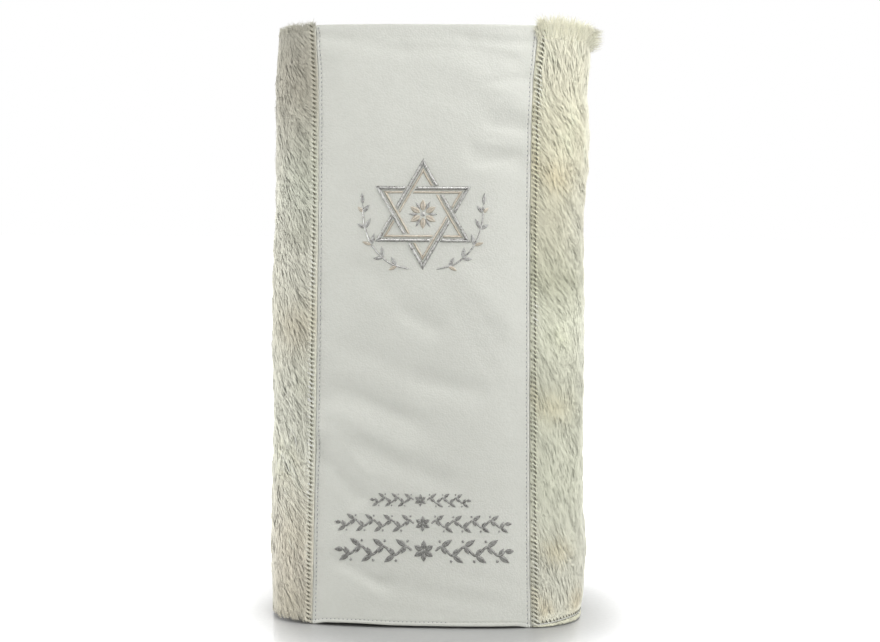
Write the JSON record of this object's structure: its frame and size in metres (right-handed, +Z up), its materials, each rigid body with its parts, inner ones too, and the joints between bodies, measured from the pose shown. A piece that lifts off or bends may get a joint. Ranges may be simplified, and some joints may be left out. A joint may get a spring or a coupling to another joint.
{
  "type": "torah mantle",
  "caption": "Tall fitted scroll cover: leather front and back, hair-on hide sides, stiff oval top with stave holes, open hem to stand on.",
  "frame": {"origin": "on the floor, under the middle of the box around the whole cover", "axes": "+Z up from the hem to the top board, -Y out of the embroidered front, +X to the right of someone facing the front"},
  "size_m": [0.354, 0.1768, 0.63],
  "materials": {
    "leather": "off-white pebble-grained leather, soft sheen",
    "hair_hide": "off-white cream hide with straight hair",
    "thread_silver": "silver-grey satin stitch",
    "thread_champagne": "champagne satin stitch",
    "thread_white": "pale grey-white sewing thread"
  },
  "bodies": {
    "root": {"front_panel": "leather", "back_panel": "leather", "fur_side_left": "hair_hide", "fur_side_right": "hair_hide", "top_cap": "leather", "rim_locks_left": "hair_hide", "rim_locks_right": "hair_hide", "hem_locks_left": "hair_hide", "hem_locks_right": "hair_hide"}
  },
  "joints": []
}
